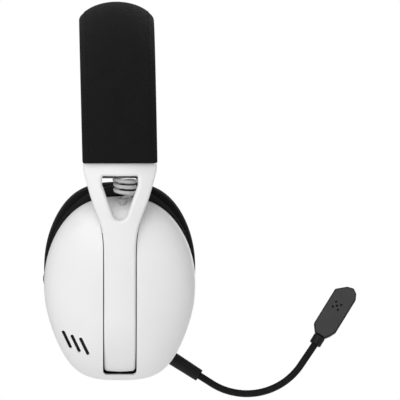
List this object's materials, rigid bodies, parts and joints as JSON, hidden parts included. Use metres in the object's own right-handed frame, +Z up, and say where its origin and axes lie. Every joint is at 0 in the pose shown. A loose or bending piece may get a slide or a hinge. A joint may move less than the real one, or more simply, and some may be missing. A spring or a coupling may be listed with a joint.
{
  "type": "gaming headset",
  "caption": "Wireless over-ear gaming headset with a fabric headband, sliding ear cups on Y-shaped arms and a plug-in boom microphone.",
  "frame": {"origin": "middle of the head space, midway between the centres of the two ear pads' faces", "axes": "+X to the wearer's front, +Y to the wearer's left, +Z up along the headband's height"},
  "size_m": [0.1712, 0.1834, 0.2137],
  "materials": {
    "shell_white": "satin white moulded plastic",
    "cover_fabric": "black woven mesh",
    "pad_fabric": "black knitted fabric",
    "foam": "open-cell foam",
    "spring_steel": "rolled spring strip",
    "black_plastic": "fine texture",
    "mic_plastic": "fine texture",
    "mic_face": "dark grey, fine texture",
    "boom_rubber": "matt sleeve",
    "lead_grey": "soft light grey jacket",
    "screw_steel": "zinc-plated",
    "mesh_black": "fine mesh",
    "magnet_metal": "nickel-plated",
    "film": "thin film",
    "board_green": "solder mask",
    "battery_wrap": "foil pouch",
    "contact_gold": "plated plug",
    "light_clear": "light pipe"
  },
  "bodies": {
    "headband": {"headband_cover": "cover_fabric", "headband_foam": "foam", "headband_frame": "black_plastic", "headband_spring": "spring_steel", "headband_lead": "lead_grey", "yoke_right": "shell_white", "yoke_cover_right": "black_plastic", "yoke_screws_right": "screw_steel", "coil_lead_right": "lead_grey", "yoke_left": "shell_white", "yoke_cover_left": "black_plastic", "yoke_screws_left": "screw_steel", "coil_lead_left": "lead_grey"},
    "right_cup": {"cup_shell_right": "shell_white", "slide_channel_right": "black_plastic", "detent_spring_right": "spring_steel", "lead_grommet_right": "lead_grey", "vent_mesh_right": "mesh_black", "baffle_right": "black_plastic", "baffle_screws_right": "screw_steel", "driver_basket_right": "black_plastic", "driver_magnet_right": "magnet_metal", "driver_diaphragm_right": "film", "ear_cloth_right": "pad_fabric", "pad_ring_right": "black_plastic", "ear_pad_right": "pad_fabric", "battery": "battery_wrap"},
    "left_cup": {"cup_shell_left": "shell_white", "slide_channel_left": "black_plastic", "detent_spring_left": "spring_steel", "lead_grommet_left": "lead_grey", "vent_mesh_left": "mesh_black", "baffle_left": "black_plastic", "baffle_screws_left": "screw_steel", "driver_basket_left": "black_plastic", "driver_magnet_left": "magnet_metal", "driver_diaphragm_left": "film", "ear_cloth_left": "pad_fabric", "pad_ring_left": "black_plastic", "ear_pad_left": "pad_fabric", "main_board": "board_green", "usb_port": "magnet_metal", "volume_encoder": "black_plastic", "button_switches": "black_plastic", "mic_socket": "black_plastic", "status_light": "light_clear"},
    "volume_wheel": {"volume_wheel": "black_plastic"},
    "power_button": {"power_button": "black_plastic"},
    "mute_button": {"mute_button": "black_plastic"},
    "mic_plug": {"mic_plug_body": "mic_plastic", "mic_plug_pin": "contact_gold", "boom_root": "boom_rubber"},
    "boom_lower": {"boom_lower": "boom_rubber"},
    "boom_upper": {"boom_upper": "boom_rubber"},
    "mic_head": {"boom_neck": "boom_rubber", "boom_collar": "mic_plastic", "capsule_front": "mic_face", "capsule_back": "mic_plastic", "mic_cartridge": "magnet_metal"}
  },
  "joints": [
    {"name": "right_cup_slide", "type": "slide", "parent": "headband", "child": "right_cup", "axis": [0, 0.1736, -0.9848], "range_m": [0, 0.028], "deforming": ["coil_lead_right"]},
    {"name": "left_cup_slide", "type": "slide", "parent": "headband", "child": "left_cup", "axis": [0, -0.1736, -0.9848], "range_m": [0, 0.028], "deforming": ["coil_lead_left"]},
    {"name": "volume_turn", "type": "hinge", "parent": "left_cup", "child": "volume_wheel", "pos_m": [-0.0335, 0.06619, -0.00179], "axis": [0, 0.9848, -0.1736], "continuous": true},
    {"name": "power_press", "type": "slide", "parent": "left_cup", "child": "power_button", "axis": [0.9502, 0.0541, 0.3068], "range_m": [0, 0.0006], "stiffness_N_per_m": 600, "springref_m": -0.0005},
    {"name": "mute_press", "type": "slide", "parent": "left_cup", "child": "mute_button", "axis": [0.9548, -0.0516, -0.2928], "range_m": [0, 0.0006], "stiffness_N_per_m": 600, "springref_m": -0.0005},
    {"name": "mic_unplug", "type": "slide", "parent": "left_cup", "child": "mic_plug", "axis": [0.8387, -0.0946, -0.5364], "range_m": [0, 0.016]},
    {"name": "boom_bend_1", "type": "hinge", "parent": "mic_plug", "child": "boom_lower", "pos_m": [0.05038, 0.05616, -0.05866], "axis": [0, 0.9848, -0.1736], "range_deg": [-20, 20]},
    {"name": "boom_bend_2", "type": "hinge", "parent": "boom_lower", "child": "boom_upper", "pos_m": [0.07679, 0.05529, -0.0636], "axis": [0, 0.9848, -0.1736], "range_deg": [-20, 20]},
    {"name": "boom_bend_3", "type": "hinge", "parent": "boom_upper", "child": "mic_head", "pos_m": [0.09915, 0.05789, -0.04889], "axis": [0, 0.9848, -0.1736], "range_deg": [-20, 20]}
  ],
  "couplings": [
    {"joint": "boom_bend_2", "follows": "boom_bend_1", "ratio": 1},
    {"joint": "boom_bend_3", "follows": "boom_bend_1", "ratio": 1}
  ]
}
